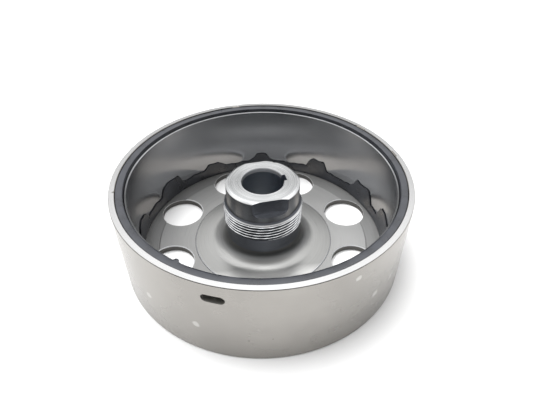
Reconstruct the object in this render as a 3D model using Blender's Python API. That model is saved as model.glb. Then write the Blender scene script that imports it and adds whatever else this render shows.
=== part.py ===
"""Outer-rotor magneto flywheel: steel cup, welded-in hub, magnets, sleeve and potting.

Row frame: +Z is the spin axis pointing out of the open side, z = 0 is the flat back face,
-Y is the front and +X the right.  Every dimension below is in millimetres; the objects are
written in metres.
"""
import math

import bmesh
import bpy
from mathutils import Vector

MM = 0.001

# ---- overall ---------------------------------------------------------------------------
RIM_R = 62.5              # outside radius of the cup
RIM_Z = 39.3              # height of the rim above the back face
GAP = 0.3                 # clearance left between two pieces that touch
OVERRUN = 1.0             # how far a cutter runs past the metal it cuts

# ---- rotor cup -------------------------------------------------------------------------
WALL_IN_R = 60.0          # inside radius of the cup wall
RIM_CHAMFER = 0.25
RIM_INNER_CHAMFER = 0.2
BACK_CHAMFER = 0.5
FLOOR_Z = 3.1             # top of the machined floor band, where the holes are
FLOOR_OUTER_Z = 2.8       # the slightly lower outer annulus of the floor
FLOOR_STEP_R = 47.8
FLOOR_STEP_RUN = 0.4
SEAT_R = 32.0             # counterbore that takes the hub flange
SEAT_Z = 1.6
SPIGOT_HOLE_R = 26.0
VENT_COUNT = 8
VENT_R = 9.75
VENT_CHAMFER = 0.35
VENT_PITCH_R = 43.65
VENT_FIRST_DEG = 21.5
SLOT_DEG = -105.7         # timing window in the cup wall
SLOT_Z = 32.4
SLOT_LENGTH = 8.6
SLOT_WIDTH = 3.6

# ---- hub -------------------------------------------------------------------------------
HUB_PHASE_DEG = 12.5      # direction of the keyway and of the wrench flats
HUB_TOP_Z = 35.3
HUB_CHAMFER_RUN = 1.3
HUB_CHAMFER_DROP = 0.7
NECK_R = 16.0
FLAT_AF = 28.0            # across the two wrench flats
FLAT_Z = 28.0
FLAT_CORNER_R = 3.0
FLAT_OVERHANG = 0.2       # how far the milled pocket passes the neck's edge
SHOULDER_Z = 25.6         # foot of the neck, where a cone leads out to the thread
THREAD_R = 17.5           # M35 x 1.5 puller thread
THREAD_PITCH = 1.5
THREAD_DEPTH = 0.9
THREAD_TOP_Z = 24.3
THREAD_END_Z = 16.0
THREAD_ROOT_FLAT = 0.18
THREAD_HALF_DEG = 30.0
THREAD_RUN_OUT = 0.5      # turns the thread tool runs past each end of the blank
THREAD_CLEAR = 0.2        # how far the thread tool stands out of the blank
RELIEF_R = 16.4           # undercut below the thread, running into the base fillet
BASE_FILLET = 7.6
FLANGE_R = SEAT_R - GAP
FLANGE_Z = 3.5
FLANGE_CHAMFER = 0.3
SPIGOT_R = SPIGOT_HOLE_R - GAP
LEAD_IN_R = 9.15          # short steep lead-in above the taper
LEAD_IN_DEPTH = 1.8
LEAD_IN_CHAMFER = 0.3
TAPER_TOP_R = 8.8
TAPER_BACK_R = 10.6
TAPER_BACK_CHAMFER = 0.5
KEYWAY_WIDTH = 4.0
KEYWAY_TOOL_R = 4.0       # inner end of the keyway tool, in the open bore
KEYWAY_TOP_R = 10.3
KEYWAY_BACK_R = 12.2

# ---- magnets, sleeve and potting ----------------------------------------------------------
MAGNET_COUNT = 12
BAR_PHASE_DEG = -3.0      # centre of the first resin bar between two magnets
SLEEVE_R = 56.0
SLEEVE_THICKNESS = 0.6
SLEEVE_BASE_Z = 5.0
SLEEVE_TOP_Z = 37.4
SLEEVE_EDGE = 0.4
POT_OUT_R = WALL_IN_R - GAP
POT_IN_R = SLEEVE_R + SLEEVE_THICKNESS + GAP
POT_TOP_Z = 39.0
POT_BASE_Z = FLOOR_OUTER_Z + GAP
WINDOW_BASE_Z = 6.4
WINDOW_TOP_Z = 35.0
FOOT_R = 54.9
FOOT_TOP_R = 55.25
FOOT_BACK_R = SLEEVE_R - GAP
FOOT_WEB_Z = SLEEVE_BASE_Z - GAP
FOOT_TOP_Z = 7.6
LOBE_RISE = 4.8
LOBE_HALF_DEG = 8.6
LOBE_RAMP_DEG = 2.6

# ---- facets ------------------------------------------------------------------------------
RING_SEGMENTS = 96
HUB_SEGMENTS = 48
VENT_SEGMENTS = 32
FILLET_STEPS = 7
CORNER_STEPS = 4
SLOT_END_STEPS = 8

# ---- finishes: colour, metallic, roughness ---------------------------------------------------
MACHINED_STEEL = ((0.52, 0.51, 0.49), 1.0, 0.32)
TURNED_STEEL = ((0.60, 0.60, 0.59), 1.0, 0.24)
POLISHED_STAINLESS = ((0.45, 0.45, 0.46), 1.0, 0.18)
BLACK_RESIN = ((0.050, 0.052, 0.060), 0.0, 0.4)
MAGNET_COAT = ((0.045, 0.045, 0.050), 0.35, 0.42)

UP = Vector((0.0, 0.0, 1.0))


# ---- helpers -----------------------------------------------------------------------------
def polar(radius, degrees, z):
    """Point in metres from cylindrical millimetres."""
    angle = math.radians(degrees)
    return Vector((radius * math.cos(angle), radius * math.sin(angle), z)) * MM


def finish(name, verts, faces, smooth_deg=30.0):
    """Make one object from vertices and faces, outward normals, shaded by angle."""
    mesh = bpy.data.meshes.new(name)
    mesh.from_pydata(verts, [], faces)
    bm = bmesh.new()
    bm.from_mesh(mesh)
    bmesh.ops.remove_doubles(bm, verts=bm.verts, dist=1e-7)
    bmesh.ops.recalc_face_normals(bm, faces=bm.faces)
    bm.to_mesh(mesh)
    bm.free()
    mesh.shade_smooth()
    mesh.set_sharp_from_angle(angle=math.radians(smooth_deg))
    obj = bpy.data.objects.new(name, mesh)
    bpy.context.scene.collection.objects.link(obj)
    return obj


def revolve(name, profile, segments, phase=0.0, smooth_deg=30.0):
    """Turn a closed (radius, z) outline about the Z axis."""
    count = len(profile)
    verts = []
    faces = []
    for step in range(segments):
        degrees = phase + 360.0 * step / segments
        for radius, z in profile:
            verts.append(polar(radius, degrees, z))
    for step in range(segments):
        here = step * count
        after = ((step + 1) % segments) * count
        for row in range(count):
            below = (row + 1) % count
            faces.append((here + row, after + row, after + below, here + below))
    return finish(name, verts, faces, smooth_deg)


def arc_points(centre, radius, start_deg, end_deg, steps):
    """(radius, z) points along a fillet arc in the section plane."""
    points = []
    for step in range(steps + 1):
        angle = math.radians(start_deg + (end_deg - start_deg) * step / steps)
        points.append((centre[0] + radius * math.cos(angle), centre[1] + radius * math.sin(angle)))
    return points


def cutter(obj):
    """Hide a boolean tool from renders and draw it as wire."""
    obj.hide_render = True
    obj.display_type = "WIRE"
    return obj


def subtract(target, tool, label):
    """Take a tool away from a piece with an exact boolean."""
    modifier = target.modifiers.new(label, "BOOLEAN")
    modifier.operation = "DIFFERENCE"
    modifier.solver = "EXACT"
    modifier.object = tool
    modifier.show_viewport = True
    modifier.show_render = True


def material(obj, name, look):
    """Give a piece its own Principled material."""
    colour, metallic, roughness = look
    mat = bpy.data.materials.new(name)
    mat.use_nodes = True
    shader = mat.node_tree.nodes["Principled BSDF"]
    shader.inputs["Base Color"].default_value = (colour[0], colour[1], colour[2], 1.0)
    shader.inputs["Metallic"].default_value = metallic
    shader.inputs["Roughness"].default_value = roughness
    mat.diffuse_color = (colour[0], colour[1], colour[2], 1.0)
    obj.data.materials.append(mat)


def directions(degrees):
    """Outward and sideways unit vectors at an angle about Z."""
    angle = math.radians(degrees)
    outward = Vector((math.cos(angle), math.sin(angle), 0.0))
    along = Vector((-math.sin(angle), math.cos(angle), 0.0))
    return outward, along


def prism(name, outline, base, axis_u, axis_v, axis_w, depth):
    """Extrude a 2-D outline (mm) from a base point along axis_w."""
    count = len(outline)
    verts = []
    for offset in (0.0, depth):
        for u, v in outline:
            verts.append((base + axis_u * u + axis_v * v + axis_w * offset) * MM)
    faces = [tuple(range(count)), tuple(range(2 * count - 1, count - 1, -1))]
    for row in range(count):
        after = (row + 1) % count
        faces.append((row, after, count + after, count + row))
    return finish(name, verts, faces)


# ---- rotor cup -----------------------------------------------------------------------------
def cup_profile():
    """Section of the cup, from the seat for the hub out and up to the rim."""
    return [
        (SPIGOT_HOLE_R, 0.0),
        (RIM_R - BACK_CHAMFER, 0.0),
        (RIM_R, BACK_CHAMFER),
        (RIM_R, RIM_Z - RIM_CHAMFER),
        (RIM_R - RIM_CHAMFER, RIM_Z),
        (WALL_IN_R + RIM_INNER_CHAMFER, RIM_Z),
        (WALL_IN_R, RIM_Z - RIM_INNER_CHAMFER),
        (WALL_IN_R, FLOOR_OUTER_Z),
        (FLOOR_STEP_R + FLOOR_STEP_RUN, FLOOR_OUTER_Z),
        (FLOOR_STEP_R, FLOOR_Z),
        (SEAT_R, FLOOR_Z),
        (SEAT_R, SEAT_Z),
        (SPIGOT_HOLE_R, SEAT_Z),
    ]


def vent_tool():
    """Eight countersunk drills on the vent pitch circle, as one tool."""
    verts = []
    faces = []
    outline = [
        (VENT_R, -OVERRUN),
        (VENT_R, FLOOR_Z - VENT_CHAMFER),
        (VENT_R + VENT_CHAMFER, FLOOR_Z),
        (VENT_R + VENT_CHAMFER, FLOOR_Z + OVERRUN),
    ]
    rows = len(outline)
    for index in range(VENT_COUNT):
        centre = polar(VENT_PITCH_R, VENT_FIRST_DEG + 360.0 * index / VENT_COUNT, 0.0)
        start = len(verts)
        for radius, z in outline:
            for step in range(VENT_SEGMENTS):
                verts.append(centre + polar(radius, 360.0 * (step + 0.5) / VENT_SEGMENTS, z))
        for row in range(rows - 1):
            for step in range(VENT_SEGMENTS):
                after = (step + 1) % VENT_SEGMENTS
                low = start + row * VENT_SEGMENTS
                high = low + VENT_SEGMENTS
                faces.append((low + step, low + after, high + after, high + step))
        faces.append(tuple(start + step for step in reversed(range(VENT_SEGMENTS))))
        top = start + (rows - 1) * VENT_SEGMENTS
        faces.append(tuple(top + step for step in range(VENT_SEGMENTS)))
    return cutter(finish("tool_vents", verts, faces))


def slot_outline(length, width, steps):
    """Obround centred on the origin."""
    straight = (length - width) / 2.0
    outline = []
    for side, start in ((1.0, -90.0), (-1.0, 90.0)):
        for step in range(steps + 1):
            angle = math.radians(start + 180.0 * step / steps)
            u = side * straight + width / 2.0 * math.cos(angle)
            v = width / 2.0 * math.sin(angle)
            outline.append((u, v))
    return outline


def build_cup():
    """Deep steel cup with eight vents in its floor and a timing window in its wall."""
    cup = revolve("rotor_cup", cup_profile(), RING_SEGMENTS)
    subtract(cup, vent_tool(), "vents")
    outward, along = directions(SLOT_DEG)
    base = outward * (WALL_IN_R - OVERRUN) + UP * SLOT_Z
    depth = RIM_R - WALL_IN_R + 2.0 * OVERRUN
    outline = slot_outline(SLOT_LENGTH, SLOT_WIDTH, SLOT_END_STEPS)
    tool = prism("tool_slot", outline, base, along, UP, outward, depth)
    subtract(cup, cutter(tool), "timing_window")
    material(cup, "machined_steel", MACHINED_STEEL)
    return cup


# ---- hub -----------------------------------------------------------------------------------
def hub_profile():
    """Section of the hub with its flange, thread blank, neck, lead-in and tapered bore."""
    outline = [
        (TAPER_BACK_R + TAPER_BACK_CHAMFER, 0.0),
        (SPIGOT_R, 0.0),
        (SPIGOT_R, SEAT_Z + GAP),
        (FLANGE_R, SEAT_Z + GAP),
        (FLANGE_R, FLANGE_Z - FLANGE_CHAMFER),
        (FLANGE_R - FLANGE_CHAMFER, FLANGE_Z),
    ]
    centre = (RELIEF_R + BASE_FILLET, FLANGE_Z + BASE_FILLET)
    outline += arc_points(centre, BASE_FILLET, 270.0, 180.0, FILLET_STEPS)
    outline += [
        (RELIEF_R, THREAD_END_Z),
        (THREAD_R, THREAD_END_Z + THREAD_R - RELIEF_R),
        (THREAD_R, THREAD_TOP_Z),
        (NECK_R, SHOULDER_Z),
        (NECK_R, HUB_TOP_Z - HUB_CHAMFER_DROP),
        (NECK_R - HUB_CHAMFER_RUN, HUB_TOP_Z),
        (LEAD_IN_R + LEAD_IN_CHAMFER, HUB_TOP_Z),
        (LEAD_IN_R, HUB_TOP_Z - LEAD_IN_CHAMFER),
        (TAPER_TOP_R, HUB_TOP_Z - LEAD_IN_DEPTH),
        (TAPER_BACK_R, TAPER_BACK_CHAMFER),
    ]
    return outline


def thread_tool():
    """Helical V tool, one long closed sweep that leaves the blank at both ends."""
    turns = (THREAD_TOP_Z - THREAD_END_Z) / THREAD_PITCH + 2.0 * THREAD_RUN_OUT
    steps = int(round(turns * HUB_SEGMENTS))
    first_z = THREAD_END_Z - THREAD_RUN_OUT * THREAD_PITCH
    outer = THREAD_R + THREAD_CLEAR
    root = THREAD_R - THREAD_DEPTH
    low = THREAD_ROOT_FLAT / 2.0
    high = low + (outer - root) * math.tan(math.radians(THREAD_HALF_DEG))
    section = [(outer, high), (root, low), (root, -low), (outer, -high)]
    verts = []
    faces = []
    for step in range(steps + 1):
        degrees = HUB_PHASE_DEG + 360.0 * (step + 0.5) / HUB_SEGMENTS
        rise = THREAD_PITCH * step / HUB_SEGMENTS
        for radius, z in section:
            verts.append(polar(radius, degrees, first_z + rise + z))
    for step in range(steps):
        here = step * 4
        for row in range(4):
            below = (row + 1) % 4
            faces.append((here + row, here + 4 + row, here + 4 + below, here + below))
    faces.append((0, 1, 2, 3))
    last = steps * 4
    faces.append((last + 3, last + 2, last + 1, last))
    return cutter(finish("tool_thread", verts, faces))


def flat_tool(side):
    """Milling tool for one wrench flat, rounded where it stops above the thread."""
    along, outward = directions(HUB_PHASE_DEG)
    outward = outward * side
    reach = math.sqrt(NECK_R ** 2 - (FLAT_AF / 2.0) ** 2) + FLAT_OVERHANG
    outline = [(reach, HUB_TOP_Z + OVERRUN), (-reach, HUB_TOP_Z + OVERRUN)]
    for centre_u, start in ((-reach + FLAT_CORNER_R, 180.0), (reach - FLAT_CORNER_R, 270.0)):
        for step in range(CORNER_STEPS + 1):
            turn = math.radians(start + 90.0 * step / CORNER_STEPS)
            u = centre_u + FLAT_CORNER_R * math.cos(turn)
            v = FLAT_Z + FLAT_CORNER_R + FLAT_CORNER_R * math.sin(turn)
            outline.append((u, v))
    base = outward * (FLAT_AF / 2.0)
    name = "tool_flat_back" if side > 0 else "tool_flat_front"
    depth = NECK_R - FLAT_AF / 2.0 + OVERRUN
    return cutter(prism(name, outline, base, along, UP, outward, depth))


def keyway_tool():
    """Keyway that follows the taper, on the same side as the flats' direction."""
    along, across = directions(HUB_PHASE_DEG)
    half = KEYWAY_WIDTH / 2.0
    slope = (KEYWAY_BACK_R - KEYWAY_TOP_R) / HUB_TOP_Z
    verts = []
    for z in (-OVERRUN, HUB_TOP_Z + OVERRUN):
        reach = KEYWAY_TOP_R + slope * (HUB_TOP_Z - z)
        for u, v in ((KEYWAY_TOOL_R, -half), (reach, -half), (reach, half), (KEYWAY_TOOL_R, half)):
            verts.append((along * u + across * v + UP * z) * MM)
    faces = [(3, 2, 1, 0), (4, 5, 6, 7), (0, 1, 5, 4), (1, 2, 6, 5), (2, 3, 7, 6), (3, 0, 4, 7)]
    return cutter(finish("tool_keyway", verts, faces))


def build_hub():
    """Hub with puller thread, wrench flats, lead-in, taper and keyway."""
    hub = revolve("hub", hub_profile(), HUB_SEGMENTS, HUB_PHASE_DEG)
    subtract(hub, thread_tool(), "puller_thread")
    subtract(hub, flat_tool(-1.0), "flat_front")
    subtract(hub, flat_tool(1.0), "flat_back")
    subtract(hub, keyway_tool(), "keyway")
    material(hub, "turned_steel", TURNED_STEEL)
    return hub


# ---- magnets, sleeve and potting --------------------------------------------------------------
def build_magnet(index):
    """One arc magnet standing in its window of the potting."""
    pitch = 360.0 / MAGNET_COUNT
    cells = RING_SEGMENTS // MAGNET_COUNT
    step_deg = 360.0 / RING_SEGMENTS
    trim = math.degrees(GAP / POT_IN_R)
    start = BAR_PHASE_DEG + pitch * index + step_deg / 2.0
    angles = [start + step_deg * step for step in range(cells)]
    angles[0] += trim
    angles[-1] -= trim
    low = WINDOW_BASE_Z + GAP
    high = WINDOW_TOP_Z - GAP
    section = [(POT_IN_R, low), (POT_OUT_R, low), (POT_OUT_R, high), (POT_IN_R, high)]
    verts = [polar(radius, degrees, z) for degrees in angles for radius, z in section]
    faces = [(0, 1, 2, 3)]
    last = 4 * (len(angles) - 1)
    faces.append((last + 3, last + 2, last + 1, last))
    for step in range(len(angles) - 1):
        here = step * 4
        for row in range(4):
            below = (row + 1) % 4
            faces.append((here + row, here + below, here + 4 + below, here + 4 + row))
    magnet = finish("magnet_%02d" % (index + 1), verts, faces)
    material(magnet, "magnet_coat_%02d" % (index + 1), MAGNET_COAT)
    return magnet


def build_sleeve():
    """Thin stainless sleeve that covers the magnets' faces."""
    outer = SLEEVE_R + SLEEVE_THICKNESS
    profile = [
        (SLEEVE_R, SLEEVE_BASE_Z),
        (outer, SLEEVE_BASE_Z),
        (outer, SLEEVE_TOP_Z),
        (SLEEVE_R + SLEEVE_EDGE, SLEEVE_TOP_Z),
        (SLEEVE_R, SLEEVE_TOP_Z - SLEEVE_EDGE),
    ]
    phase = BAR_PHASE_DEG + 180.0 / RING_SEGMENTS
    sleeve = revolve("magnet_sleeve", profile, RING_SEGMENTS, phase)
    material(sleeve, "polished_stainless", POLISHED_STAINLESS)
    return sleeve


def foot_height(degrees):
    """Top of the resin foot: a low band with a lobe in front of every resin bar."""
    pitch = 360.0 / MAGNET_COUNT
    offset = (degrees - BAR_PHASE_DEG + pitch / 2.0) % pitch - pitch / 2.0
    blend = (LOBE_HALF_DEG - abs(offset)) / LOBE_RAMP_DEG
    blend = min(1.0, max(0.0, blend))
    blend = blend * blend * (3.0 - 2.0 * blend)
    return FOOT_TOP_Z + LOBE_RISE * blend


def potting_point(ring, level, degrees):
    """Vertex of the potting grid: ring 0..3 from the inside out, level 0..4 upward."""
    radius = (FOOT_R, FOOT_BACK_R, POT_IN_R, POT_OUT_R)[ring]
    z = (POT_BASE_Z, FOOT_WEB_Z, WINDOW_BASE_Z, WINDOW_TOP_Z, POT_TOP_Z)[level]
    if ring < 2 and level == 2:
        z = foot_height(degrees)
        radius = FOOT_TOP_R if ring == 0 else radius
    return polar(radius, degrees, z)


def potting_filled(ring, sector, level):
    """True where the resin fills the grid cell between ring/level and the next ones."""
    if level < 0 or level > 3:
        return False
    if ring == 0:
        return level <= 1
    if ring == 1:
        return level == 0
    if ring == 2:
        is_bar = sector % (RING_SEGMENTS // MAGNET_COUNT) == 0
        return level != 2 or is_bar
    return False


def build_potting():
    """Resin cage: top ring, a bar between every two magnets, and a lobed foot."""
    step_deg = 360.0 / RING_SEGMENTS
    verts = []
    index = {}
    faces = []

    def vertex(ring, sector, level):
        key = (ring, sector % RING_SEGMENTS, level)
        if key not in index:
            degrees = BAR_PHASE_DEG - step_deg / 2.0 + step_deg * key[1]
            index[key] = len(verts)
            verts.append(potting_point(ring, level, degrees))
        return index[key]

    def cell_face(ring, sector, level, axis, high):
        """One side of a cell: axis 0 ring, 1 sector, 2 level; high picks the far side."""
        corners = []
        for first, second in ((0, 0), (1, 0), (1, 1), (0, 1)):
            place = [0, 0, 0]
            place[axis] = 1 if high else 0
            place[(axis + 1) % 3] = first
            place[(axis + 2) % 3] = second
            corners.append(vertex(ring + place[0], sector + place[1], level + place[2]))
        faces.append(tuple(corners) if high else tuple(reversed(corners)))

    for ring in range(3):
        for sector in range(RING_SEGMENTS):
            for level in range(4):
                if not potting_filled(ring, sector, level):
                    continue
                for axis in range(3):
                    for high in (False, True):
                        beside = [ring, sector, level]
                        beside[axis] += 1 if high else -1
                        if not potting_filled(*beside):
                            cell_face(ring, sector, level, axis, high)
    potting = finish("potting_resin", verts, faces)
    material(potting, "black_resin", BLACK_RESIN)
    return potting


def main():
    """Clear the file and build every piece."""
    for obj in list(bpy.data.objects):
        bpy.data.objects.remove(obj, do_unlink=True)
    build_cup()
    build_hub()
    build_sleeve()
    build_potting()
    for index in range(MAGNET_COUNT):
        build_magnet(index)


main()
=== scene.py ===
"""Looks of the magneto flywheel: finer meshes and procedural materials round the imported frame."""
import math

import bmesh
import bpy
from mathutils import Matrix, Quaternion, Vector


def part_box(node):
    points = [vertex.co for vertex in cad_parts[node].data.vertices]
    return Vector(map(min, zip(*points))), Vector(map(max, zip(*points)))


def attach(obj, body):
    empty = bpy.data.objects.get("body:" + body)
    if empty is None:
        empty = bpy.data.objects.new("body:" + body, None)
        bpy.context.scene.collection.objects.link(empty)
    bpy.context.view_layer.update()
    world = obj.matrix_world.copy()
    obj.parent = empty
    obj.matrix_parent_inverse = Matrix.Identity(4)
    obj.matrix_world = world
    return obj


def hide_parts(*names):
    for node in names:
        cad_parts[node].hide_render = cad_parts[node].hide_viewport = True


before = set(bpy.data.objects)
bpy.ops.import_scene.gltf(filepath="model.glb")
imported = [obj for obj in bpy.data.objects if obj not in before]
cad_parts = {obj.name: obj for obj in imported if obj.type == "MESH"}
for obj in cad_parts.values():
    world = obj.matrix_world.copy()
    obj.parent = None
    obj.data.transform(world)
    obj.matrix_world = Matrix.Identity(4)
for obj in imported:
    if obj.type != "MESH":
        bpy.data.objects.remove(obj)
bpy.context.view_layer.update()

MM = 0.001

# ---- camera: fitted place, aim and lens ----------------------------------------------------------
CAMERA_PLACE = (0.0, -0.1513, 0.1492)
CAMERA_AIM = (0.0054, 0.0009, 0.0200)
CAMERA_ROLL_DEG = 0.56
CAMERA_LENS_MM = 29.06

# ---- sizes in millimetres, read from the frame where it has them ---------------------------------
cup_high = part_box("rotor_cup")[1]
hub_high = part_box("hub")[1]
sleeve_low, sleeve_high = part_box("magnet_sleeve")
pot_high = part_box("potting_resin")[1]

RIM_R = cup_high.x / MM
RIM_Z = cup_high.z / MM
WALL_IN_R = 60.0
FLOOR_Z = 3.1
FLOOR_OUTER_Z = 2.8
FLOOR_STEP_R = 47.8
SEAT_R = 32.0
SEAT_Z = 1.6
SPIGOT_HOLE_R = 26.0
VENT_COUNT = 8
VENT_R = 9.75
VENT_PITCH_R = 43.65
VENT_FIRST_DEG = 21.5
VENT_CHAMFER = 0.4
VENT_SEGMENTS = 96
CUTTER_OVERRUN = 1.0      # how far a cutter stands out of what it cuts
SLOT_DEG = -105.7
SLOT_Z = 32.4
SLOT_LENGTH = 8.6
SLOT_WIDTH = 3.6
SLOT_CUT_START_R = WALL_IN_R - 2.0
SLOT_CUT_DEPTH = 6.0

HUB_PHASE_DEG = 12.5
HUB_TOP_Z = hub_high.z / MM
NECK_R = 16.0
HUB_CHAMFER_RUN = 1.3
HUB_CHAMFER_DROP = 0.7
FLAT_AF = 28.0
FLAT_Z = 28.0
FLAT_CORNER_R = 3.0
FLAT_OVERHANG = 0.2       # how far the milled pocket passes the neck's edge
FLAT_CUT_DEPTH = 6.0
CORNER_STEPS = 12
NICK_DEG = 70.5           # small nick on the hub's top edge, beside the back flat
NICK_HALF_DEG = 2.0
NICK_RUN = 0.45
NICK_DROP = 0.4
HUB_EDGE_RUN = 1.6        # how far in and down the rows of the top edge go
HUB_EDGE_DROP = 0.9
THREAD_R = 17.5
THREAD_PITCH = 1.5
THREAD_DEPTH = 1.0
THREAD_CREST_PART = 0.16  # share of half a pitch that is flat crest
THREAD_FLANK_PART = 0.72  # share of half a pitch that slopes
THREAD_FADE_Z = 0.9       # height over which the thread's lower end fades in
THREAD_ROWS = 24          # rows of vertices for one turn
SHOULDER_Z = 25.25
THREAD_TOP_Z = 24.3
THREAD_END_Z = 16.0
RELIEF_R = 16.4
BASE_FILLET = 7.6
LEAD_IN_R = 9.15
LEAD_IN_CHAMFER = 0.3
LEAD_IN_DEPTH = 1.9
TAPER_TOP_R = LEAD_IN_R - 0.33
TAPER_BACK_R = 10.6
TAPER_MOUTH_R = 11.1
TAPER_MOUTH_Z = 0.5
KEYWAY_HALF_WIDTH = 2.0
KEYWAY_INNER_R = 4.0
KEYWAY_TOP_R = 10.3
KEYWAY_BACK_R = 12.2
FLANGE_R = 31.7
FLANGE_Z = 3.5
LET_IN_Z = 1.9            # underside of the flange, where it lies in the cup's floor
SPIGOT_R = 25.7

MAGNET_COUNT = 12
BAR_PHASE_DEG = -3.0
BAR_SECTORS = 6           # width of a bar in the potting's sectors
SLEEVE_R = 56.0
SLEEVE_OUT_R = sleeve_high.x / MM
POT_OUT_R = WALL_IN_R - 0.3
POT_IN_R = SLEEVE_R + 0.9

RING_SEGMENTS = 576
HUB_SEGMENTS = 192
ROUND_STEPS = 4           # steps in a small rounded corner


# ---- mesh helpers --------------------------------------------------------------------------------
def polar(radius, degrees, z):
    """Point in metres from cylindrical millimetres."""
    angle = math.radians(degrees)
    return Vector((radius * math.cos(angle), radius * math.sin(angle), z)) * MM


def link_mesh(name, verts, faces, sharp_deg=28.0):
    """Object from vertices and faces, with outward normals and smooth shading by angle."""
    mesh = bpy.data.meshes.new(name)
    mesh.from_pydata([tuple(v) for v in verts], [], faces)
    bm = bmesh.new()
    bm.from_mesh(mesh)
    bmesh.ops.remove_doubles(bm, verts=bm.verts, dist=1e-7)
    bmesh.ops.recalc_face_normals(bm, faces=bm.faces)
    bm.to_mesh(mesh)
    bm.free()
    mesh.shade_smooth()
    mesh.set_sharp_from_angle(angle=math.radians(sharp_deg))
    obj = bpy.data.objects.new(name, mesh)
    bpy.context.scene.collection.objects.link(obj)
    return obj


def turned(name, rows, segments, radius_at=None, phase=0.0):
    """Closed (radius, z) outline turned about Z; radius_at(r, z, degrees) may bend it."""
    count = len(rows)
    verts = []
    faces = []
    for step in range(segments):
        degrees = phase + 360.0 * step / segments
        for radius, z in rows:
            place = radius_at(radius, z, degrees) if radius_at else (radius, z)
            verts.append(polar(place[0], degrees, place[1]))
    for step in range(segments):
        here = step * count
        after = ((step + 1) % segments) * count
        for row in range(count):
            below = (row + 1) % count
            faces.append((here + row, after + row, after + below, here + below))
    return link_mesh(name, verts, faces)


def rounded(corners):
    """Outline with its corners rounded: each corner is (radius, z, round) in millimetres."""
    points = []
    count = len(corners)
    for index, (r, z, size) in enumerate(corners):
        here = Vector((r, z))
        if size <= 0.0:
            points.append((r, z))
            continue
        before = (Vector(corners[index - 1][:2]) - here).normalized()
        after = (Vector(corners[(index + 1) % count][:2]) - here).normalized()
        half = before.angle(after) / 2.0
        reach = size / math.tan(half)
        start = here + before * reach
        end = here + after * reach
        for step in range(ROUND_STEPS + 1):
            t = step / ROUND_STEPS
            point = start * (1 - t) ** 2 + here * 2 * t * (1 - t) + end * t ** 2
            points.append((point.x, point.y))
    return points


def cut(target, tools, sharp_deg=28.0):
    """Take the tools away from the target for good, and remove them."""
    for tool in tools:
        modifier = target.modifiers.new("cut", "BOOLEAN")
        modifier.operation = "DIFFERENCE"
        modifier.solver = "EXACT"
        modifier.object = tool
    bpy.context.view_layer.update()
    graph = bpy.context.evaluated_depsgraph_get()
    mesh = bpy.data.meshes.new_from_object(target.evaluated_get(graph))
    target.modifiers.clear()
    target.data = mesh
    mesh.shade_smooth()
    mesh.set_sharp_from_angle(angle=math.radians(sharp_deg))
    for tool in tools:
        bpy.data.objects.remove(tool, do_unlink=True)
    return target


def prism(name, outline, base, axis_u, axis_v, axis_w, depth):
    """Extrude a 2-D outline in millimetres from a base point along axis_w."""
    count = len(outline)
    verts = []
    for offset in (0.0, depth):
        for u, v in outline:
            verts.append((base + axis_u * u + axis_v * v + axis_w * offset) * MM)
    faces = [tuple(range(count)), tuple(range(2 * count - 1, count - 1, -1))]
    for row in range(count):
        after = (row + 1) % count
        faces.append((row, after, count + after, count + row))
    return link_mesh(name, verts, faces)


def directions(degrees):
    """Outward and sideways unit vectors at an angle about Z."""
    angle = math.radians(degrees)
    outward = Vector((math.cos(angle), math.sin(angle), 0.0))
    along = Vector((-math.sin(angle), math.cos(angle), 0.0))
    return outward, along


UP = Vector((0.0, 0.0, 1.0))


# ---- rotor cup -----------------------------------------------------------------------------------
def vent_centres():
    """Vents' centres on the table, in metres."""
    step_deg = 360.0 / VENT_COUNT
    return [polar(VENT_PITCH_R, VENT_FIRST_DEG + step_deg * index, 0.0) for index in range(VENT_COUNT)]


def vent_cutters():
    """Countersunk drills for the eight vents."""
    segments = VENT_SEGMENTS
    wide = VENT_R + VENT_CHAMFER
    rows = [(wide, -CUTTER_OVERRUN), (wide, 0.0), (VENT_R, VENT_CHAMFER),
            (VENT_R, FLOOR_Z - VENT_CHAMFER), (wide, FLOOR_Z), (wide, FLOOR_Z + CUTTER_OVERRUN)]
    tools = []
    for index, centre in enumerate(vent_centres()):
        verts = []
        faces = []
        for radius, z in rows:
            for step in range(segments):
                verts.append(centre + polar(radius, 360.0 * step / segments, z))
        for row in range(len(rows) - 1):
            for step in range(segments):
                after = (step + 1) % segments
                low = row * segments
                high = low + segments
                faces.append((low + step, low + after, high + after, high + step))
        faces.append(tuple(reversed(range(segments))))
        top = (len(rows) - 1) * segments
        faces.append(tuple(top + step for step in range(segments)))
        tools.append(link_mesh("tool_vent_%d" % index, verts, faces))
    return tools


def vent_distance(place):
    """Distance in millimetres from a place to the nearest vent's centre line."""
    centres = [centre / MM for centre in vent_centres()]
    return min(math.hypot(place.x - centre.x, place.y - centre.y) for centre in centres)


def obround(length, width, steps):
    """Obround outline centred on the origin."""
    straight = (length - width) / 2.0
    radius = width / 2.0
    outline = []
    for side, start in ((1.0, -90.0), (-1.0, 90.0)):
        for step in range(steps + 1):
            angle = math.radians(start + 180.0 * step / steps)
            outline.append((side * straight + radius * math.cos(angle), radius * math.sin(angle)))
    return outline


# small chips along the rim's inner edge: where they start and end in degrees, and the radius they reach
RIM_CHIPS = ((100.9, 104.7, 60.9), (34.6, 40.6, 60.8), (11.1, 15.3, 60.9), (-169.2, -168.4, 61.3))
CHIP_RAGGED = 0.15
CHIP_LEAN = 0.25          # how far the corner's lower point moves out under a chip
CHIP_DROP = 0.15


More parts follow.
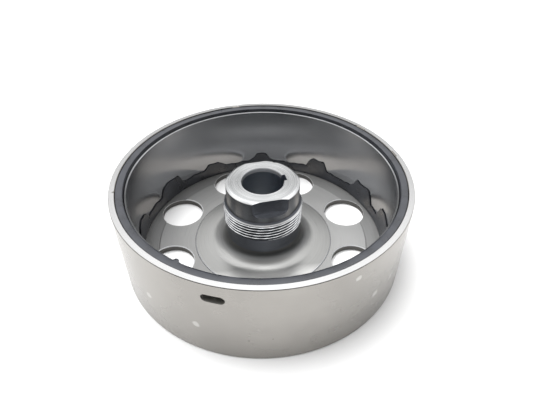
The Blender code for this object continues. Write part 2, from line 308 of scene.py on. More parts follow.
def chip_rim(radius, z, degrees):
    """Bend the rim's inner corner outward and down where it is chipped."""
    if z < RIM_Z - 0.5 or radius > WALL_IN_R + 0.5:
        return radius, z
    for start, end, reach in RIM_CHIPS:
        inside = (degrees - start) % 360.0
        if inside <= end - start:
            if z > RIM_Z - 0.1:
                return reach + CHIP_RAGGED * math.sin(40.0 * inside), z
            return radius + CHIP_LEAN, z - CHIP_DROP
    return radius, z


def build_cup():
    """The steel cup with a worn inner rim edge, stepped floor, vents and timing window."""
    back_chamfer = 0.5
    rim_chamfer = 0.22
    seat_wall_r = SEAT_R - 0.28
    corners = [
        (SPIGOT_HOLE_R, 0.0, 0.15),
        (RIM_R - back_chamfer, 0.0, 0.25),
        (RIM_R, back_chamfer, 0.25),
        (RIM_R, RIM_Z - rim_chamfer, 0.08),
        (RIM_R - rim_chamfer, RIM_Z, 0.08),
        (WALL_IN_R + 0.2, RIM_Z, 0.0),
        (WALL_IN_R, RIM_Z - 0.25, 0.0),
        (WALL_IN_R, FLOOR_OUTER_Z, 0.0),
        (FLOOR_STEP_R + 0.5, FLOOR_OUTER_Z, 0.25),
        (FLOOR_STEP_R, FLOOR_Z, 0.25),
        (seat_wall_r, FLOOR_Z, 0.08),
        (seat_wall_r, SEAT_Z, 0.0),
        (SPIGOT_HOLE_R, SEAT_Z, 0.0),
    ]
    cup = turned("rotor_cup_fine", rounded(corners), RING_SEGMENTS, chip_rim)
    outward, along = directions(SLOT_DEG)
    base = outward * SLOT_CUT_START_R + UP * SLOT_Z
    outline = obround(SLOT_LENGTH, SLOT_WIDTH, 20)
    slot = prism("tool_slot", outline, base, along, UP, outward, SLOT_CUT_DEPTH)
    return cut(cup, vent_cutters() + [slot])


# ---- hub -----------------------------------------------------------------------------------------
def thread_radius(z, degrees):
    """Radius of the right-hand thread's surface, faded out at its lower end."""
    turn = (z / THREAD_PITCH - degrees / 360.0) % 1.0
    crest = abs(turn - 0.5) * 2.0
    flank = (1.0 - THREAD_CREST_PART - crest) / THREAD_FLANK_PART
    depth = THREAD_DEPTH * min(1.0, max(0.0, flank))
    fade = min(1.0, max(0.0, (z - THREAD_END_Z) / THREAD_FADE_Z))
    return THREAD_R - depth * fade


def fillet_rows():
    """Quarter arc from the flange up to the relief under the thread."""
    rows = []
    for degrees in range(0, 91, 5):
        turn = math.radians(degrees)
        rows.append((RELIEF_R + BASE_FILLET * (1.0 - math.sin(turn)),
                     FLANGE_Z + BASE_FILLET * (1.0 - math.cos(turn))))
    return rows


def hub_rows(thread_low):
    """Hub's outline from the back, out over the flange, up the thread and neck, and down the bore."""
    top_z = HUB_TOP_Z
    rim = NECK_R - HUB_CHAMFER_RUN
    chamfer_z = top_z - HUB_CHAMFER_DROP
    rows = [(TAPER_MOUTH_R, 0.0), (SPIGOT_R, 0.0), (SPIGOT_R, LET_IN_Z), (FLANGE_R, LET_IN_Z),
            (FLANGE_R, FLANGE_Z - 0.2), (FLANGE_R - 0.12, FLANGE_Z - 0.08),
            (FLANGE_R - 0.3, FLANGE_Z), (FLANGE_R - 0.6, FLANGE_Z)]
    rows += fillet_rows()
    rows += [(RELIEF_R, THREAD_END_Z - 0.6), (RELIEF_R + 0.1, THREAD_END_Z - 0.15)]
    height = THREAD_TOP_Z - thread_low
    steps = int(height / THREAD_PITCH * THREAD_ROWS)
    rows += [(THREAD_R, thread_low + height * step / steps) for step in range(steps + 1)]
    rows += [(THREAD_R - 0.2, THREAD_TOP_Z + 0.12), (THREAD_R - 0.5, THREAD_TOP_Z + 0.32),
             (THREAD_R - 0.7, THREAD_TOP_Z + 0.47), (NECK_R + 0.3, SHOULDER_Z - 0.1),
             (NECK_R + 0.05, SHOULDER_Z + 0.1), (NECK_R, SHOULDER_Z + 0.35)]
    rows += [(NECK_R, chamfer_z - 0.12), (NECK_R - 0.1, chamfer_z + 0.02),
             (rim + 0.1, top_z - 0.05), (rim - 0.1, top_z), (rim - 0.4, top_z)]
    rows += [(LEAD_IN_R + 0.7, top_z), (LEAD_IN_R + LEAD_IN_CHAMFER, top_z),
             (LEAD_IN_R, top_z - LEAD_IN_CHAMFER), (TAPER_TOP_R + 0.03, top_z - LEAD_IN_DEPTH + 0.2),
             (TAPER_TOP_R, top_z - LEAD_IN_DEPTH), (TAPER_BACK_R, TAPER_MOUTH_Z)]
    return rows


def flat_cutters(along, outward):
    """Cutters with rounded lower corners for the two wrench flats."""
    reach = math.sqrt(NECK_R ** 2 - (FLAT_AF / 2.0) ** 2) + FLAT_OVERHANG
    outline = [(reach, HUB_TOP_Z + 2.0), (-reach, HUB_TOP_Z + 2.0)]
    for centre_u, start in ((-reach + FLAT_CORNER_R, 180.0), (reach - FLAT_CORNER_R, 270.0)):
        for step in range(CORNER_STEPS + 1):
            turn = math.radians(start + 90.0 * step / CORNER_STEPS)
            outline.append((centre_u + FLAT_CORNER_R * math.cos(turn),
                            FLAT_Z + FLAT_CORNER_R + FLAT_CORNER_R * math.sin(turn)))
    tools = []
    for side in (-1.0, 1.0):
        face = outward * side
        tools.append(prism("tool_flat", outline, face * (FLAT_AF / 2.0), along, UP, face, FLAT_CUT_DEPTH))
    return tools


def keyway_cutter(along, outward):
    """Cutter for the keyway, which leans out towards the back as the taper does."""
    half = KEYWAY_HALF_WIDTH
    verts = []
    for z in (-CUTTER_OVERRUN, HUB_TOP_Z + CUTTER_OVERRUN):
        reach = KEYWAY_TOP_R + (KEYWAY_BACK_R - KEYWAY_TOP_R) * (HUB_TOP_Z - z) / HUB_TOP_Z
        for u, v in ((KEYWAY_INNER_R, -half), (reach, -half), (reach, half), (KEYWAY_INNER_R, half)):
            verts.append((along * u + outward * v + UP * z) * MM)
    faces = [(3, 2, 1, 0), (4, 5, 6, 7), (0, 1, 5, 4), (1, 2, 6, 5), (2, 3, 7, 6), (3, 0, 4, 7)]
    return link_mesh("tool_keyway", verts, faces)


def build_hub():
    """Hub turned from its outline, with a helical thread, flats, lead-in, taper and keyway."""
    thread_low = THREAD_END_Z + 0.5

    def bend(radius, z, degrees):
        if thread_low - 0.01 <= z <= THREAD_TOP_Z + 0.01 and radius == THREAD_R:
            return thread_radius(z, degrees), z
        on_edge = z > HUB_TOP_Z - HUB_EDGE_DROP and radius > NECK_R - HUB_EDGE_RUN
        if on_edge and abs(degrees - NICK_DEG) < NICK_HALF_DEG:
            return radius - NICK_RUN, z - NICK_DROP
        return radius, z

    hub = turned("hub_fine", hub_rows(thread_low), HUB_SEGMENTS, bend, HUB_PHASE_DEG)
    along, outward = directions(HUB_PHASE_DEG)
    return cut(hub, flat_cutters(along, outward) + [keyway_cutter(along, outward)])


# ---- sleeve and potting --------------------------------------------------------------------------
def build_sleeve():
    """Thin rolled sleeve with a soft top lip."""
    low = sleeve_low.z / MM
    high = sleeve_high.z / MM
    corners = [(SLEEVE_R, low, 0.1), (SLEEVE_OUT_R, low, 0.1), (SLEEVE_OUT_R, high, 0.05),
               (SLEEVE_R + 0.3, high, 0.05), (SLEEVE_R, high - 0.2, 0.05)]
    return turned("magnet_sleeve_fine", rounded(corners), RING_SEGMENTS)


# the foot's lobes, one a bar: shift and half width in degrees, and top height in millimetres
LOBES = ((-1.0, 13.0, 14.6), (-1.0, 8.8, 13.3), (0.8, 6.8, 13.0), (3.5, 6.5, 12.2), (1.5, 6.6, 10.4),
         (-0.5, 9.2, 12.5), (0.5, 8.0, 11.8), (1.0, 7.2, 12.6), (-1.5, 8.4, 11.2), (0.0, 9.0, 12.0),
         (1.2, 7.0, 12.8), (-0.6, 8.2, 11.5))
LOBE_RAMP_DEG = 4.6
FOOT_LOW_Z = 7.3          # top of the foot between its lobes
DRIBBLE_DEG = -121.1      # a dribble of resin that hangs in over the sleeve
DRIBBLE_HALF_DEG = 1.25
DRIBBLE_REACH = 1.15


def foot_height(degrees):
    """Ragged top of the resin foot: a low band with a lobe in front of every bar."""
    pitch = 360.0 / MAGNET_COUNT
    place = (degrees - BAR_PHASE_DEG + pitch / 2.0) % 360.0
    shift, half, top = LOBES[int(place // pitch)]
    offset = place % pitch - pitch / 2.0 - shift
    turn = math.radians(degrees)
    edge = 0.5 * math.sin(41 * turn + top) + 0.2 * math.sin(87 * turn)
    blend = min(1.0, max(0.0, (half + 0.5 + edge - abs(offset)) / LOBE_RAMP_DEG))
    blend = blend * blend * (3.0 - 2.0 * blend)
    ragged = 0.3 * math.sin(23 * turn) + 0.14 * math.sin(61 * turn) + 0.05 * math.sin(97 * turn + 1.0)
    rise = top - FOOT_LOW_Z + 0.3 * math.sin(37 * turn + top)
    return FOOT_LOW_Z + ragged + rise * blend


def resin_lip(radius, z, side, level, degrees):
    """Uneven top edge of the resin: rounded beside the rim and beside the sleeve, with one dribble.

    side is negative beside the sleeve, positive beside the rim; level is 0 at the top, -1 and -2 below it.
    """
    turn = math.radians(degrees)
    wobble = 0.5 * math.sin(17 * turn) + 0.3 * math.sin(43 * turn + 1.0) + 0.2 * math.sin(101 * turn)
    uneven = (wobble + 1.0) * (level + 2) / 2.0
    away = (degrees - DRIBBLE_DEG + 180.0) % 360.0 - 180.0
    inward = max(0.0, 1.0 - (away / DRIBBLE_HALF_DEG) ** 2)
    if side < 0:
        radius += (0.0, 0.12, 0.3)[level + 2] + 0.1 * uneven
        radius -= DRIBBLE_REACH * math.sqrt(inward) * (1.0 if level > -2 else 0.4)
    elif side > 0:
        radius += (0.2, 0.15, -0.1)[level + 2] - 0.08 * uneven
    if level == 0:
        z += 0.06 * (wobble - 1.0) - (0.24 if side < 0 else 0.0)
    return radius, z


# the potting's grid: vertex rings and levels in millimetres; the two inner rings are the foot
POT_RINGS = (54.9, 55.75, POT_IN_R, 58.3, POT_OUT_R)
POT_LEVELS = (3.1, 4.7, 6.4, 35.0, pot_high.z / MM - 0.6, pot_high.z / MM - 0.12, pot_high.z / MM)
POT_SECTORS = 576
FOOT_RINGS = 2
FOOT_EDGE_R = 55.5        # inner edge of the foot's top
FOOT_TOP_LEVEL = 2
WINDOW_LEVEL = 2          # cells of this level are open between the bars


def potting_filled(ring, sector, level):
    """Whether a cell of the potting's grid holds resin."""
    if level < 0 or level >= len(POT_LEVELS) - 1 or ring < 0 or ring >= len(POT_RINGS) - 1:
        return False
    if ring < FOOT_RINGS:
        return level <= 1 - ring
    return level != WINDOW_LEVEL or sector % (POT_SECTORS // MAGNET_COUNT) < BAR_SECTORS


def potting_place(ring, sector, level):
    """Place of a vertex of the potting's grid."""
    step_deg = 360.0 / POT_SECTORS
    degrees = BAR_PHASE_DEG + step_deg * (sector - BAR_SECTORS // 2)
    radius = POT_RINGS[ring]
    z = POT_LEVELS[level]
    if ring < FOOT_RINGS and level == FOOT_TOP_LEVEL:
        z = foot_height(degrees) - (0.1 if ring else 0.0)
        radius = radius if ring else FOOT_EDGE_R
    below_top = level - (len(POT_LEVELS) - 1)
    if below_top >= -2:
        radius, z = resin_lip(radius, z, ring - 3, below_top, degrees)
    return polar(radius, degrees, z)


def build_potting():
    """Resin cage with its top ring, bars and lobed foot: the closed skin of the filled cells."""
    verts = []
    index = {}
    faces = []

    def vertex(ring, sector, level):
        key = (ring, sector % POT_SECTORS, level)
        if key not in index:
            index[key] = len(verts)
            verts.append(potting_place(*key))
        return index[key]

    def add_face(cell, axis, high):
        corners = []
        for first, second in ((0, 0), (1, 0), (1, 1), (0, 1)):
            place = list(cell)
            place[axis] += high
            place[(axis + 1) % 3] += first
            place[(axis + 2) % 3] += second
            corners.append(vertex(*place))
        faces.append(tuple(corners) if high else tuple(reversed(corners)))

    for ring in range(len(POT_RINGS) - 1):
        for sector in range(POT_SECTORS):
            for level in range(len(POT_LEVELS) - 1):
                cell = (ring, sector, level)
                if not potting_filled(*cell):
                    continue
                for axis in range(3):
                    for high in (0, 1):
                        beside = list(cell)
                        beside[axis] += 1 if high else -1
                        if not potting_filled(*beside):
                            add_face(cell, axis, high)
    return link_mesh("potting_resin_fine", verts, faces)


# ---- materials -----------------------------------------------------------------------------------
GROOVES_PER_METRE = 4200.0
GROOVES_PER_RADIAN = 1.5
GROOVE_DEPTH = 0.00004
STEEL_CLOUDS = 38.0       # blotches a metre
STEEL_WAVES = 110.0
STAIN_GRAIN = 900.0


class Shader:
    """Small helper that adds and links shader nodes."""

    def __init__(self, name):
        self.material = bpy.data.materials.new(name)
        self.material.use_nodes = True
        self.tree = self.material.node_tree
        self.surface = self.tree.nodes["Principled BSDF"]

    def node(self, kind, **settings):
        made = self.tree.nodes.new(kind)
        for key, value in settings.items():
            setattr(made, key, value)
        return made

    def link(self, out, into):
        self.tree.links.new(out, into)
        return into

    def math(self, operation, first, second=0.0):
        made = self.node("ShaderNodeMath", operation=operation)
        for socket, value in zip(made.inputs, (first, second)):
            if isinstance(value, (int, float)):
                socket.default_value = value
            else:
                self.link(value, socket)
        return made.outputs[0]

    def axes(self):
        """Object coordinates as x, y, z and the distance from the spin axis."""
        coords = self.node("ShaderNodeTexCoord").outputs["Object"]
        split = self.node("ShaderNodeSeparateXYZ")
        self.link(coords, split.inputs[0])
        x, y, z = split.outputs
        square = self.math("ADD", self.math("MULTIPLY", x, x), self.math("MULTIPLY", y, y))
        return x, y, z, self.math("SQRT", square)

    def blend(self, factor, first, second, mode="MIX"):
        """Mix two colours; a colour is a socket or three numbers."""
        made = self.node("ShaderNodeMix", data_type="RGBA", blend_type=mode)
        for name, value in (("Factor", factor), ("A", first), ("B", second)):
            socket = [each for each in made.inputs if each.name == name and each.enabled][0]
            if isinstance(value, (int, float)):
                socket.default_value = value
            elif isinstance(value, tuple):
                socket.default_value = (*value, 1.0)
            else:
                self.link(value, socket)
        return [each for each in made.outputs if each.enabled][0]

    def grey(self, level):
        """Colour with the same level in all three channels."""
        join = self.node("ShaderNodeCombineColor")
        for socket in join.inputs:
            self.link(level, socket)
        return join.outputs[0]

    def tone(self, colour, stops):
        """Lighter and darker rings: stops are (radius in millimetres, brightness)."""
        radius = self.axes()[3]
        reach = stops[-1][0]
        scaled = self.math("DIVIDE", radius, reach * MM)
        rings = [(place / reach, (level, level, level)) for place, level in stops]
        return self.blend(1.0, colour, self.ramp(scaled, rings), "MULTIPLY")

    def painted_lean(self, colour, degrees, low, high, start, end):
        """Painted light and shade along one direction: low brightness at start, high at end, in
        millimetres.
        """
        x, y, _, _ = self.axes()
        turn = math.radians(degrees)
        along_x = self.math("MULTIPLY", x, math.cos(turn))
        along_y = self.math("MULTIPLY", y, math.sin(turn))
        level = self.spread(self.math("ADD", along_x, along_y), low, high, start * MM, end * MM)
        return self.blend(1.0, colour, self.grey(level), "MULTIPLY")

    def painted_sheen(self, colour, side):
        """Painted sheen on a turned face: full brightness towards the front and back, darker towards the
        left and right.
        """
        _, y, _, radius = self.axes()
        across = self.math("POWER", self.math("DIVIDE", y, radius), 2.0)
        level = self.spread(across, side, 1.0, 0.0, 0.8)
        return self.blend(1.0, colour, self.grey(level), "MULTIPLY")

    def marks(self, colour, spots, mark, strength):
        """Small ragged stains on the outside wall: spots are (degrees, z, size) in millimetres."""
        noise = self.blotches(STAIN_GRAIN, 2.0)
        coords = self.node("ShaderNodeTexCoord").outputs["Object"]
        total = 0.0
        for degrees, z, size in spots:
            away = self.node("ShaderNodeVectorMath", operation="DISTANCE")
            self.link(coords, away.inputs[0])
            away.inputs[1].default_value = polar(RIM_R, degrees, z)
            ragged = self.math("MULTIPLY", noise, size * 0.9 * MM)
            uneven = self.math("ADD", away.outputs["Value"], ragged)
            inside = self.spread(uneven, 1.0, 0.0, size * MM, size * 1.25 * MM)
            total = self.math("MAXIMUM", inside, total)
        return self.blend(self.math("MULTIPLY", total, strength), colour, mark)

    def turned_lines(self):
        """Noise stretched round the spin axis, as a lathe leaves it: fine across, slow along."""
        x, y, z, radius = self.axes()
        angle = self.math("ARCTAN2", y, x)
        join = self.node("ShaderNodeCombineXYZ")
        self.link(self.math("MULTIPLY", radius, GROOVES_PER_METRE), join.inputs[0])
        self.link(self.math("MULTIPLY", z, GROOVES_PER_METRE), join.inputs[1])
        self.link(self.math("MULTIPLY", angle, GROOVES_PER_RADIAN), join.inputs[2])
        noise = self.node("ShaderNodeTexNoise")
        noise.inputs["Scale"].default_value = 1.0
        noise.inputs["Detail"].default_value = 3.0
        self.link(join.outputs[0], noise.inputs["Vector"])
        return noise.outputs["Fac"]

    def blotches(self, scale, detail=3.0):
        """Cloudy noise; scale is in blotches a metre."""
        coords = self.node("ShaderNodeTexCoord").outputs["Object"]
        noise = self.node("ShaderNodeTexNoise")
        noise.inputs["Scale"].default_value = scale
        noise.inputs["Detail"].default_value = detail
        self.link(coords, noise.inputs["Vector"])
        return noise.outputs["Fac"]

    def spread(self, value, low, high, from_low=0.3, from_high=0.7):
        """Map a value's range from_low to from_high onto low to high."""
        made = self.node("ShaderNodeMapRange")
        made.inputs["From Min"].default_value = from_low
        made.inputs["From Max"].default_value = from_high
        made.inputs["To Min"].default_value = low
        made.inputs["To Max"].default_value = high
        self.link(value, made.inputs["Value"])
        return made.outputs[0]

    def ramp(self, value, stops):
        """Colour ramp: stops are (place from 0 to 1, colour)."""
        made = self.node("ShaderNodeValToRGB")
        elements = made.color_ramp.elements
        for index, (place, colour) in enumerate(stops):
            element = elements[index] if index < 2 else elements.new(place)
            element.position = place
            element.color = (*colour, 1.0)
        self.link(value, made.inputs[0])
        return made.outputs[0]

    def bump(self, height, strength, distance):
        made = self.node("ShaderNodeBump")
        made.inputs["Strength"].default_value = strength
        made.inputs["Distance"].default_value = distance
        self.link(height, made.inputs["Height"])
        self.link(made.outputs[0], self.surface.inputs["Normal"])


def steel(name, dark, light, rough_low, rough_high, anisotropy=0.0, lines=0.5, metallic=1.0,
          rings=(), painted_sheen_sides=1.0, painted_lean=(), stains=(), polish=(), wave=0.0):
    """Steel between two base colours and two roughness values, with circular tool lines.

    lines is the share of tool lines against cloudy blotches. Where asked, the colour gets rings, a painted
    sheen that darkens the left and right of a turned face, a painted lean of light and shade to one side
    and stains;
    the foot is smoother by polish (low and high z in millimetres, and the factor at the low end); and
    waviness of that depth takes the grooves' place.
    """
    shader = Shader(name)
    grooves = shader.turned_lines()
    cloud = shader.blotches(STEEL_CLOUDS)
    mixed = shader.math("ADD", shader.math("MULTIPLY", grooves, lines),
                        shader.math("MULTIPLY", cloud, 1.0 - lines))
    colour = shader.ramp(mixed, [(0.3, dark), (0.7, light)])
    if rings:
        colour = shader.tone(colour, rings)
    if painted_sheen_sides < 1.0:
        colour = shader.painted_sheen(colour, painted_sheen_sides)
    if painted_lean:
        colour = shader.painted_lean(colour, *painted_lean)
    for spots, mark, strength in stains:
        colour = shader.marks(colour, spots, mark, strength)
    shader.link(colour, shader.surface.inputs["Base Color"])
    rough = shader.spread(mixed, rough_low, rough_high)
    if polish:
        low, high, factor = polish
        smoother = shader.spread(shader.axes()[2], factor, 1.0, low * MM, high * MM)
        rough = shader.math("MULTIPLY", rough, smoother)
    shader.link(rough, shader.surface.inputs["Roughness"])
    shader.surface.inputs["Metallic"].default_value = metallic
    if anisotropy:
        shader.surface.inputs["Anisotropic"].default_value = anisotropy
        tangent = shader.node("ShaderNodeTangent", direction_type="RADIAL", axis="Z")
        shader.link(tangent.outputs[0], shader.surface.inputs["Tangent"])
    if wave:
        shader.bump(shader.blotches(STEEL_WAVES, 2.0), 1.0, wave)
    else:
        shader.bump(grooves, 0.5 * lines, GROOVE_DEPTH)
    return shader.material


def resin():
    """Black potting resin, slightly glossy and uneven."""
    shader = Shader("black_resin_fine")
    cloud = shader.blotches(160.0, 5.0)
    shader.link(shader.ramp(cloud, [(0.3, (0.014, 0.016, 0.022)), (0.7, (0.038, 0.042, 0.053))]),
                shader.surface.inputs["Base Color"])
    shader.link(shader.spread(cloud, 0.22, 0.42), shader.surface.inputs["Roughness"])
    shader.surface.inputs["Specular IOR Level"].default_value = 1.0
    shader.bump(cloud, 0.5, 0.0002)
    return shader.material


def coated():
    """Dark coated magnet."""
    shader = Shader("magnet_coat_fine")
    cloud = shader.blotches(220.0)
    shader.link(shader.ramp(cloud, [(0.3, (0.15, 0.142, 0.13)), (0.7, (0.21, 0.20, 0.185))]),
                shader.surface.inputs["Base Color"])
    shader.link(shader.spread(cloud, 0.35, 0.55), shader.surface.inputs["Roughness"])
    shader.surface.inputs["Metallic"].default_value = 0.4
    return shader.material


def dress(obj, material, node):
    """Give a fine piece its material and put it in place of its CAD node."""
    weighted = obj.modifiers.new("normals", "WEIGHTED_NORMAL")
    weighted.keep_sharp = True
    obj.data.materials.clear()
    obj.data.materials.append(material)
    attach(obj, "root")
    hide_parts(node)


def paint(obj, materials, zone):
    """Add the zones' materials after the main one, and give each face the material of its zone."""
    for material in materials:
        obj.data.materials.append(material)
    for face in obj.data.polygons:
        face.material_index = zone(face.center / MM, face.normal.z)


# ---- build: each piece with its zones ------------------------------------------------------------
# stains and specks on the outside wall: degrees, z and size
PALE_STAINS = ((-112.8, 15.6, 2.0), (-59.1, 34.2, 1.7), (-48.4, 17.4, 2.2), (-38.7, 17.9, 1.7),
               (-133.1, 17.2, 2.0))
DARK_SPECKS = ((-95.1, 11.5, 0.4), (-87.3, 12.6, 0.35), (-56.9, 17.1, 0.4), (-48.2, 6.1, 0.5),
               (-45.9, 21.4, 0.4))
STAIN_COLOUR = (0.62, 0.61, 0.59)
SPECK_COLOUR = (0.05, 0.045, 0.04)
# rings of tone: radius and brightness
FLOOR_RINGS = ((0.0, 1.0), (32.0, 1.0), (47.6, 1.04), (48.4, 0.78), (60.0, 0.72))
# flange rings: painted shade in the fillet round the hub and a painted highlight crescent just outside it
FLANGE_PAINTED_SHADE_AND_HIGHLIGHT = ((0.0, 0.42), (17.2, 0.46), (19.2, 1.3), (20.7, 1.3), (22.0, 1.1), (32.0, 0.88))
TOP_RINGS = ((0.0, 1.0), (9.6, 1.0), (10.6, 0.86), (12.4, 1.0), (13.6, 0.88), (14.6, 1.0), (16.0, 1.0))
# painted light and shade along one direction: direction in degrees, brightness at the start and the end,
# start and end
# floor: painted light, brighter towards the back right and darker towards the front left
FLOOR_PAINTED_LIGHT = (40.0, 0.78, 1.2, -45.0, 45.0)
# flange: painted highlight on its front
FLANGE_PAINTED_HIGHLIGHT = (-85.0, 1.0, 1.85, 20.5, 25.0)
# sleeve lip: painted shade on its near side
LIP_PAINTED_SHADE = (90.0, 0.25, 1.0, -12.0, 12.0)

EDGE = 0.1                # margin when a face's place is compared with a surface
WALL, RIM, FLOOR, VENT_WALL_SHADE, VENT_EDGE_HIGHLIGHT, CUP_BACK, SLOT_WALL = range(7)
CREST_HIGHLIGHT, FLANGE, BORE, MILLED, LEAD_IN_HIGHLIGHT, NECK, ROOT_PAINTED_SHADE, TOP, HUB_BACK = range(9)


def cup_zone(middle, slope):
    """Material of a cup face, from its middle in millimetres and its normal's upward part."""
    reach = math.hypot(middle.x, middle.y)
    if middle.z > RIM_Z - 0.02:
        return RIM
    if abs(middle.z - SLOT_Z) < SLOT_WIDTH and WALL_IN_R + EDGE < reach < RIM_R - EDGE:
        return SLOT_WALL
    if reach >= WALL_IN_R - EDGE:
        return WALL
    if middle.z < EDGE:
        return CUP_BACK
    # vent walls: painted shade; vents' chamfered edges: painted highlight
    if abs(slope) < 0.95 and vent_distance(middle) < VENT_R + VENT_CHAMFER + 0.05:
        return VENT_WALL_SHADE if abs(slope) < 0.3 else VENT_EDGE_HIGHLIGHT
    return FLOOR


def dress_cup(back):
    """Cup: dull outside wall, bright rim, turned floor with painted light, vent walls darkened as painted
    shade with a painted highlight on their edge.
    """
    cup = build_cup()
    stains = ((PALE_STAINS, STAIN_COLOUR, 0.5), (DARK_SPECKS, SPECK_COLOUR, 0.7))
    wall = steel("cup_wall", (0.275, 0.264, 0.248), (0.34, 0.326, 0.306), 0.22, 0.32,
                 lines=0.12, stains=stains)
    rim = steel("cup_rim", (0.60, 0.60, 0.60), (0.72, 0.72, 0.72), 0.2, 0.28, anisotropy=0.6)
    # floor: turned steel with painted light leaning across it
    floor = steel("cup_floor_painted_light", (0.30, 0.30, 0.297), (0.39, 0.39, 0.385), 0.34, 0.46,
                  anisotropy=0.6, metallic=0.5, rings=FLOOR_RINGS, painted_lean=FLOOR_PAINTED_LIGHT)
    # vent walls darkened as painted shade inside the holes; vent edges brightened as painted highlight
    vent_wall_shade = steel("vent_wall_shade", (0.13, 0.135, 0.14), (0.2, 0.205, 0.21), 0.4, 0.55)
    vent_edge_highlight = steel("vent_edge_painted_highlight", (0.72, 0.73, 0.74), (0.85, 0.86, 0.87), 0.4, 0.55, metallic=0.45)
    slot_wall = steel("slot_wall", (0.19, 0.185, 0.175), (0.26, 0.255, 0.24), 0.4, 0.55, metallic=0.45)
    dress(cup, wall, "rotor_cup")
    paint(cup, (rim, floor, vent_wall_shade, vent_edge_highlight, back, slot_wall), cup_zone)


def hub_zone(middle, slope):
    """Material of a hub face, from its middle in millimetres and its normal's upward part."""
    reach = math.hypot(middle.x, middle.y)
    if middle.z < 2.0 and reach > 10.5:
        return HUB_BACK
    # flange and fillet: painted shade round the hub, a painted highlight crescent and a painted highlight
    # on the front
    if middle.z < FLANGE_Z + BASE_FILLET and reach > RELIEF_R + 0.3:
        # the flange's outer edge: painted highlight
        return LEAD_IN_HIGHLIGHT if reach > FLANGE_R - 0.31 else FLANGE
    if reach < 12.3 and 0.2 < middle.z < HUB_TOP_Z - 1.8:
        return BORE
    # lead-in: brighter, partly a rougher finish and partly painted highlight
    if reach < LEAD_IN_R + 0.2:
        return LEAD_IN_HIGHLIGHT
    if middle.z > FLAT_Z and abs(slope) < 0.5 and reach < NECK_R - 0.06:
        return MILLED
    if middle.z > SHOULDER_Z and abs(slope) < 0.5:
        return NECK
    # down-facing thread flanks, the roots and the relief under the thread: painted shade
    if reach > RELIEF_R - 0.5 and middle.z < THREAD_TOP_Z and (slope < 0.25 or reach < THREAD_R - 0.29):
        return ROOT_PAINTED_SHADE
    # where the shoulder meets the neck: painted shade
    if middle.z < SHOULDER_Z + 0.4 and NECK_R < reach < THREAD_R - 0.7:
        return ROOT_PAINTED_SHADE
    if middle.z > HUB_TOP_Z - 0.04:
        return TOP
    # up-facing thread flanks, shoulder and top chamfer: steel brightened as painted highlight
    return CREST_HIGHLIGHT


def dress_hub(back):
    """Hub: thread crests and chamfer bright with painted highlight, ringed top with a painted sheen,
    darker neck, flats, roots dark with painted shade, and a fillet with painted shade and a painted
    highlight crescent.
    """
    hub = build_hub()
    # crests: polished steel brightened as painted highlight
    crest = steel("hub_steel_painted_highlight", (0.84, 0.85, 0.86), (0.93, 0.94, 0.95), 0.16, 0.24, anisotropy=0.3)
    # flange: painted shade in the fillet, a painted highlight crescent and a painted highlight on its
    # front
    flange = steel("hub_flange_painted_light", (0.33, 0.33, 0.325), (0.43, 0.43, 0.42), 0.26, 0.36,
                   anisotropy=0.5, metallic=0.8, rings=FLANGE_PAINTED_SHADE_AND_HIGHLIGHT, painted_lean=FLANGE_PAINTED_HIGHLIGHT)
    bore = steel("bore_steel", (0.36, 0.40, 0.46), (0.44, 0.48, 0.54), 0.35, 0.45)
    milled = steel("milled_steel", (0.24, 0.255, 0.29), (0.34, 0.355, 0.40), 0.2, 0.3)
    # lead-in and flange edge: rougher steel, brightened partly as painted highlight
    lead_in = steel("lead_in_steel_painted_highlight", (0.66, 0.67, 0.69), (0.85, 0.86, 0.88), 0.4, 0.55)
    neck = steel("neck_steel", (0.30, 0.31, 0.33), (0.40, 0.41, 0.43), 0.26, 0.34)
    # roots: painted shade
    root = steel("thread_root_painted_shade", (0.14, 0.15, 0.17), (0.22, 0.23, 0.255), 0.3, 0.4)
    # top: turning rings, and a painted sheen that darkens its left and right sides
    top = steel("hub_top", (0.64, 0.65, 0.655), (0.86, 0.87, 0.875), 0.22, 0.32,
                anisotropy=0.7, lines=0.6, rings=TOP_RINGS, painted_sheen_sides=0.62)
    dress(hub, crest, "hub")
    paint(hub, (flange, bore, milled, lead_in, neck, root, top, back), hub_zone)


def sleeve_zone(middle, slope):
    """Second material for the faces of the sleeve's top lip."""
    return 1 if middle.z > sleeve_high.z / MM - 0.15 else 0


def dress_sleeve():
    """Sleeve: polished and slightly wavy, with a duller lip that carries painted shade on its near side.
    """
    sleeve = build_sleeve()
    face = steel("sleeve_steel", (0.37, 0.38, 0.40), (0.47, 0.48, 0.50), 0.21, 0.27,
                 lines=0.25, metallic=0.92, polish=(10.0, 24.0, 0.42), wave=0.00005)
    # lip: duller steel with painted shade on its near side
    lip = steel("sleeve_lip_painted_shade", (0.40, 0.41, 0.42), (0.52, 0.53, 0.54), 0.35, 0.5,
                metallic=0.6, painted_lean=LIP_PAINTED_SHADE)
    dress(sleeve, face, "magnet_sleeve")
    paint(sleeve, (lip,), sleeve_zone)


def dress_magnets():
    """Give the frame's own magnets their coat."""
    coat = coated()
    for name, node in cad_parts.items():
        if name.startswith("magnet_") and name != "magnet_sleeve":
            node.data.materials.clear()
            node.data.materials.append(coat)


back_steel = steel("back_steel", (0.42, 0.42, 0.415), (0.52, 0.52, 0.51), 0.34, 0.46, anisotropy=0.5)
dress_cup(back_steel)
dress_hub(back_steel)
dress_sleeve()
dress(build_potting(), resin(), "potting_resin")
dress_magnets()


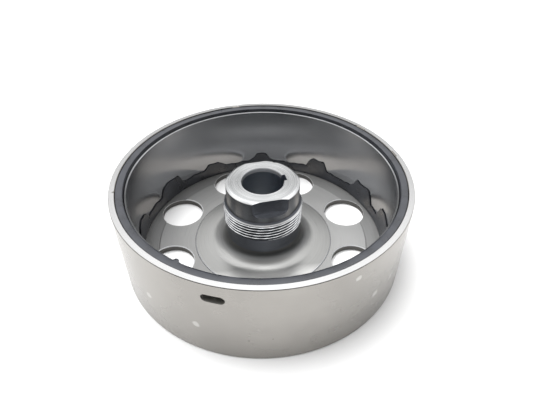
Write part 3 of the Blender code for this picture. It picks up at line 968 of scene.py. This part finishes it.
# ---- stage ---------------------------------------------------------------------------------------
# room brightness against the sine of the elevation, on the camera's side and behind the object
SKY_FRONT = ((0.0, 0.40), (0.3, 0.22), (0.5, 0.16), (0.8, 0.08), (0.92, 0.2), (1.0, 0.9))
SKY_BACK = ((0.0, 0.45), (0.3, 0.30), (0.45, 0.36), (0.6, 0.52), (0.78, 0.85), (1.0, 0.9))
SKY_STRENGTH = 2.0
KEY_TOWARDS = (-0.26, 0.12, 1.0)
KEY_SPREAD_DEG = 42.0
KEY_STRENGTH = 3.4
TABLE_HALF = 2.0
TABLE_DROP = 0.02         # table's depth under the object, in millimetres
SHADE_R = 57.0
SHADE_Z = 0.04
SHADE_STEPS = 64
SHADE_DARK = (0.08, 0.08, 0.08)
SHADE_LIGHT = (0.52, 0.49, 0.45)
SHADE_DARK_Y = -30.0
SHADE_LIGHT_Y = -12.0


def build_floor():
    """Plain white table."""
    half = TABLE_HALF
    low = -TABLE_DROP * MM
    verts = [(-half, -half, low), (half, -half, low), (half, half, low), (-half, half, low)]
    floor = link_mesh("table", verts, [(0, 1, 2, 3)])
    shader = Shader("table_white")
    shader.surface.inputs["Base Color"].default_value = (0.9, 0.9, 0.9, 1.0)
    shader.surface.inputs["Roughness"].default_value = 0.9
    floor.data.materials.append(shader.material)


def build_shade():
    """Dark card lying in the vents, seen only by reflections: the table under the wheel is in shade."""
    verts = [polar(SHADE_R, 360.0 * step / SHADE_STEPS, SHADE_Z) for step in range(SHADE_STEPS)]
    shade = link_mesh("shade_card", verts, [tuple(range(SHADE_STEPS))])
    shader = Shader("shade_grey")
    depth = shader.spread(shader.axes()[1], 0.0, 1.0, SHADE_DARK_Y * MM, SHADE_LIGHT_Y * MM)
    shader.link(shader.ramp(depth, [(0.0, SHADE_DARK), (1.0, SHADE_LIGHT)]),
                shader.surface.inputs["Base Color"])
    shader.surface.inputs["Roughness"].default_value = 1.0
    shade.data.materials.append(shader.material)
    shade.visible_camera = False
    shade.visible_diffuse = False
    shade.visible_shadow = False


def build_key():
    """Wide soft sun from overhead; the metal doesn't mirror it."""
    data = bpy.data.lights.new("key", "SUN")
    data.energy = KEY_STRENGTH
    data.angle = math.radians(KEY_SPREAD_DEG)
    light = bpy.data.objects.new("key", data)
    light.rotation_mode = "QUATERNION"
    light.rotation_quaternion = Vector(KEY_TOWARDS).to_track_quat("Z", "Y")
    light.visible_glossy = False
    bpy.context.scene.collection.objects.link(light)


def build_world():
    """Soft room: bright above and behind the object, dim on the camera's side."""
    world = bpy.data.worlds.new("studio")
    world.use_nodes = True
    bpy.context.scene.world = world
    tree = world.node_tree
    background = tree.nodes["Background"]
    coords = tree.nodes.new("ShaderNodeTexCoord")
    split = tree.nodes.new("ShaderNodeSeparateXYZ")
    tree.links.new(coords.outputs["Generated"], split.inputs[0])
    ramps = []
    for stops in (SKY_FRONT, SKY_BACK):
        ramp = tree.nodes.new("ShaderNodeValToRGB")
        for index, (height, level) in enumerate(stops):
            elements = ramp.color_ramp.elements
            element = elements[index] if index < 2 else elements.new(height)
            element.position = height
            element.color = (level, level, level, 1.0)
        tree.links.new(split.outputs[2], ramp.inputs[0])
        ramps.append(ramp)
    spread = tree.nodes.new("ShaderNodeMapRange")
    spread.interpolation_type = "SMOOTHSTEP"
    spread.inputs["From Min"].default_value = -0.5
    spread.inputs["From Max"].default_value = 0.5
    tree.links.new(split.outputs[1], spread.inputs["Value"])
    blend = tree.nodes.new("ShaderNodeMix")
    blend.data_type = "RGBA"
    tree.links.new(spread.outputs[0], blend.inputs["Factor"])
    tree.links.new(ramps[0].outputs[0], blend.inputs["A"])
    tree.links.new(ramps[1].outputs[0], blend.inputs["B"])
    tree.links.new(blend.outputs["Result"], background.inputs["Color"])
    background.inputs["Strength"].default_value = SKY_STRENGTH


def build_camera():
    """Camera at the fitted viewing angle."""
    data = bpy.data.cameras.new("camera")
    data.sensor_width = 36.0
    data.lens = CAMERA_LENS_MM
    data.clip_start = 0.01
    camera = bpy.data.objects.new("camera", data)
    look = (Vector(CAMERA_AIM) - Vector(CAMERA_PLACE)).normalized()
    camera.location = CAMERA_PLACE
    camera.rotation_mode = "QUATERNION"
    roll = Quaternion(look, math.radians(-CAMERA_ROLL_DEG))
    camera.rotation_quaternion = roll @ look.to_track_quat("-Z", "Y")
    bpy.context.scene.collection.objects.link(camera)
    bpy.context.scene.camera = camera


build_floor()
build_shade()
build_world()
build_camera()
build_key()
bpy.context.scene.view_settings.view_transform = "Standard"
